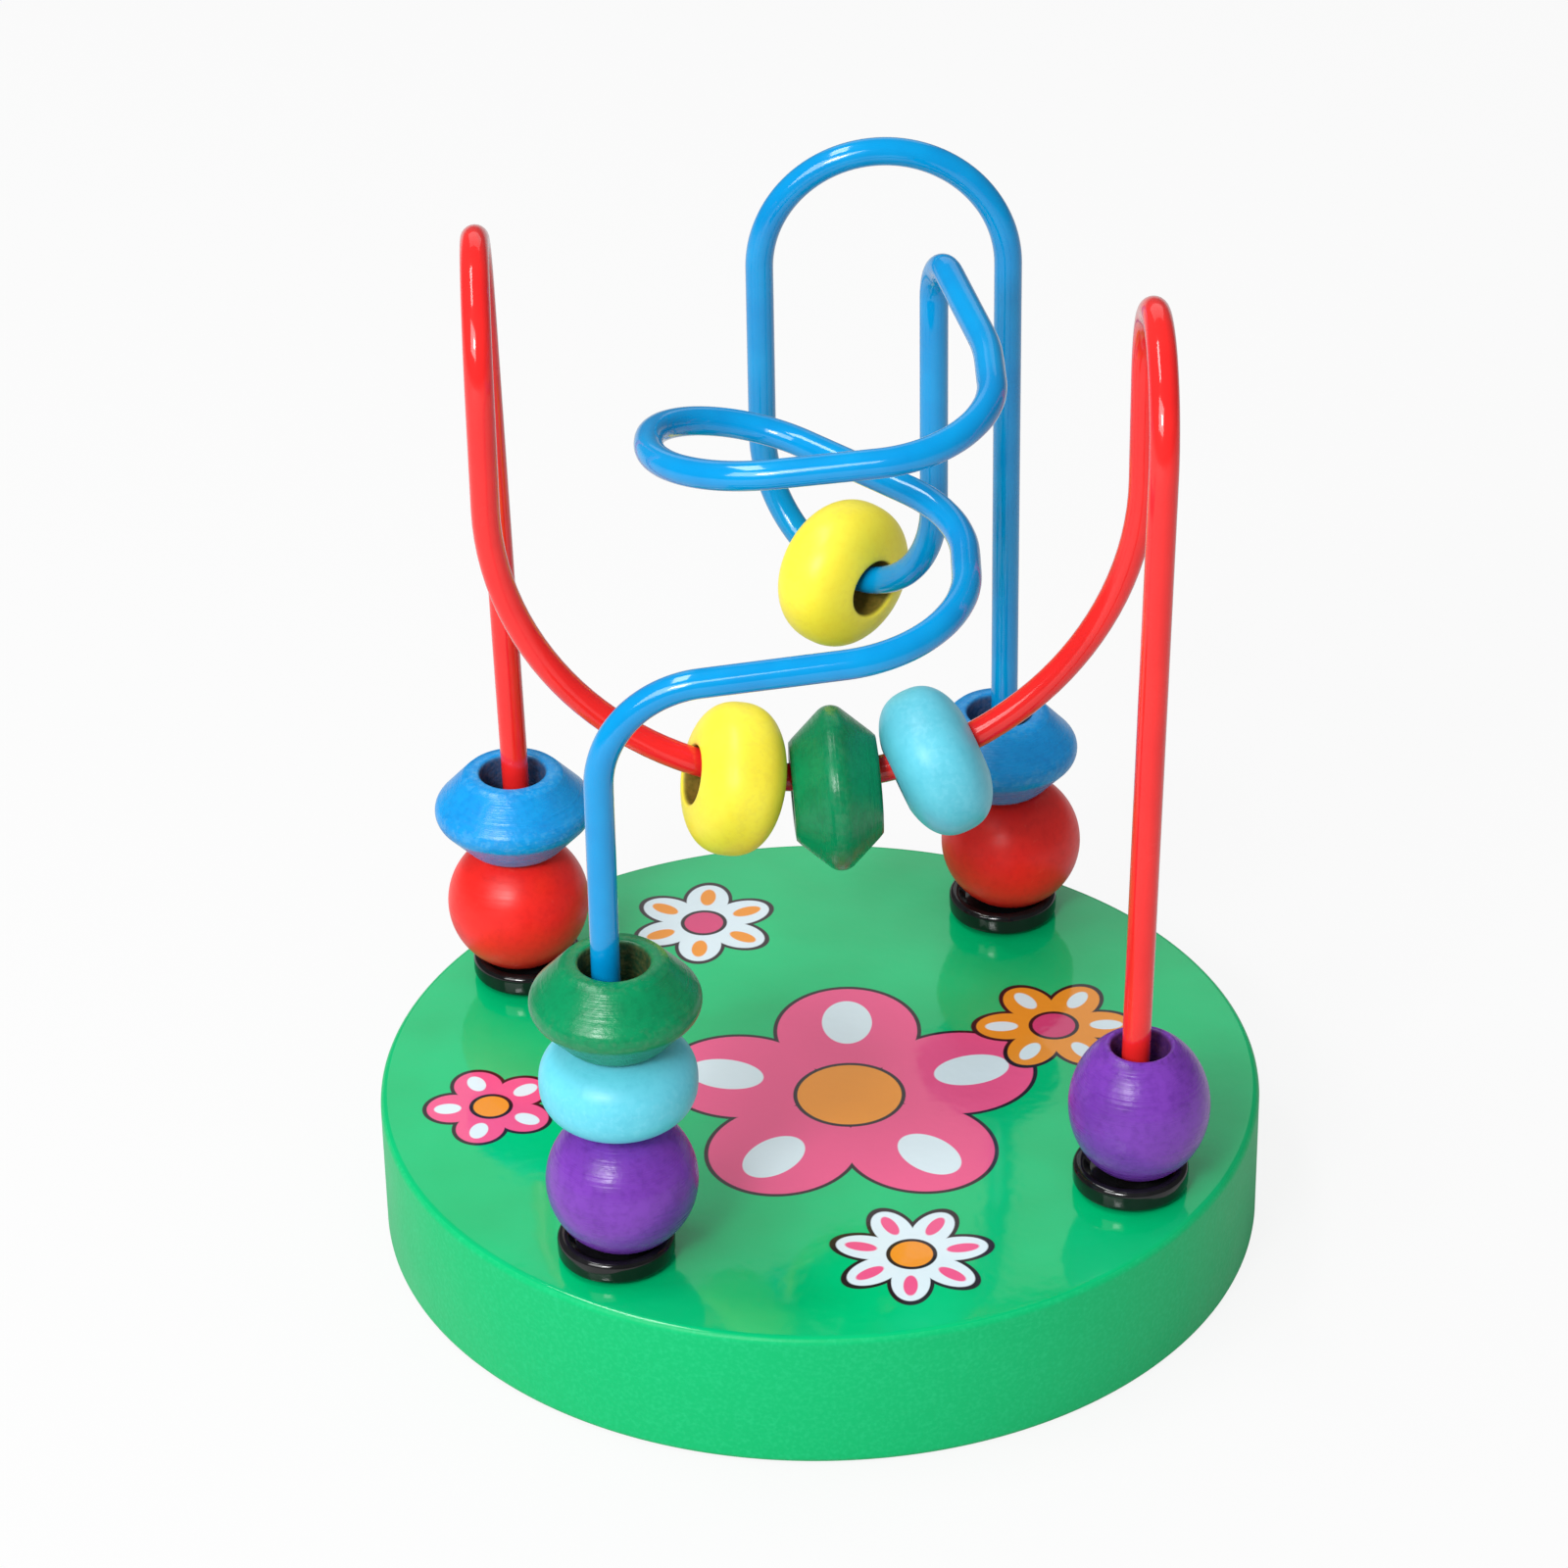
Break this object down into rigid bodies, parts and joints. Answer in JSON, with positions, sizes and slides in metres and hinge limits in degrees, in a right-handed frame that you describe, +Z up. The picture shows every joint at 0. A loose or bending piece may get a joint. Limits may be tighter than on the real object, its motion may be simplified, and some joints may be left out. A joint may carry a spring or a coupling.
{
  "type": "bead maze",
  "caption": "Small tabletop bead maze: bent, coated wires on a round wooden base carry loose turned wooden beads that slide along the wires.",
  "frame": {"origin": "centre of the base's underside, on the surface the toy stands on", "axes": "+Z up along the base's axis; +X to the right and +Y away as seen from the front, where the post with the most beads is at the front left"},
  "size_m": [0.09, 0.09, 0.1054],
  "materials": {
    "green_lacquer": "glossy lacquer",
    "red_coating": "glossy coating",
    "blue_coating": "glossy coating",
    "black_plastic": "gloss",
    "red_bead": "satin paint",
    "blue_bead": "satin paint",
    "light_blue_bead": "satin paint",
    "yellow_bead": "satin paint",
    "green_bead": "satin paint",
    "purple_bead": "satin paint"
  },
  "bodies": {
    "stand": {"base_board": "green_lacquer", "red_wire": "red_coating", "blue_wire": "blue_coating", "bush_right": "black_plastic", "bush_back": "black_plastic", "bush_left": "black_plastic", "bush_front": "black_plastic"},
    "left_ball": {"bead_left_ball": "red_bead"},
    "left_bicone": {"bead_left_bicone": "blue_bead"},
    "front_ball": {"bead_front_ball": "purple_bead"},
    "front_oval": {"bead_front_oval": "light_blue_bead"},
    "front_bicone": {"bead_front_bicone": "green_bead"},
    "right_ball": {"bead_right_ball": "purple_bead"},
    "back_ball": {"bead_back_ball": "red_bead"},
    "back_bicone": {"bead_back_bicone": "blue_bead"},
    "swoop_green": {"bead_swoop_green": "green_bead"},
    "swoop_yellow": {"bead_swoop_yellow": "yellow_bead"},
    "swoop_light_blue": {"bead_swoop_light_blue": "light_blue_bead"},
    "bight_yellow": {"bead_bight_yellow": "yellow_bead"}
  },
  "joints": [
    {"name": "left_ball_slide", "type": "slide", "parent": "stand", "child": "left_ball", "axis": [-0.0195, 0, 0.9998], "range_m": [0, 0.026]},
    {"name": "left_bicone_slide", "type": "slide", "parent": "left_ball", "child": "left_bicone", "axis": [-0.0195, 0, 0.9998], "range_m": [0, 0.026]},
    {"name": "front_ball_slide", "type": "slide", "parent": "stand", "child": "front_ball", "axis": [0, 0, 1], "range_m": [0, 0.006]},
    {"name": "front_oval_slide", "type": "slide", "parent": "front_ball", "child": "front_oval", "axis": [0, 0, 1], "range_m": [0, 0.006]},
    {"name": "front_bicone_slide", "type": "slide", "parent": "front_oval", "child": "front_bicone", "axis": [0, 0, 1], "range_m": [0, 0.006]},
    {"name": "right_ball_slide", "type": "slide", "parent": "stand", "child": "right_ball", "axis": [0.0195, 0, 0.9998], "range_m": [0, 0.06]},
    {"name": "back_ball_slide", "type": "slide", "parent": "stand", "child": "back_ball", "axis": [0, 0, 1], "range_m": [0, 0.025]},
    {"name": "back_bicone_slide", "type": "slide", "parent": "back_ball", "child": "back_bicone", "axis": [0, 0, 1], "range_m": [0, 0.025]},
    {"name": "swoop_green_swing", "type": "hinge", "parent": "stand", "child": "swoop_green", "pos_m": [0.00035, 0, 0.082], "axis": [0.0558, -0.9984, 0], "range_deg": [-20, 20]},
    {"name": "swoop_yellow_swing", "type": "hinge", "parent": "swoop_green", "child": "swoop_yellow", "pos_m": [0.00035, 0, 0.082], "axis": [-0.0558, 0.9984, 0], "range_deg": [0, 40]},
    {"name": "swoop_light_blue_swing", "type": "hinge", "parent": "swoop_green", "child": "swoop_light_blue", "pos_m": [0.00035, 0, 0.082], "axis": [0.0558, -0.9984, 0], "range_deg": [0, 40]},
    {"name": "bight_yellow_swing", "type": "hinge", "parent": "stand", "child": "bight_yellow", "pos_m": [0.00375, 0.02216, 0.07309], "axis": [0.7031, 0.7111, 0], "range_deg": [-58, 52]}
  ]
}
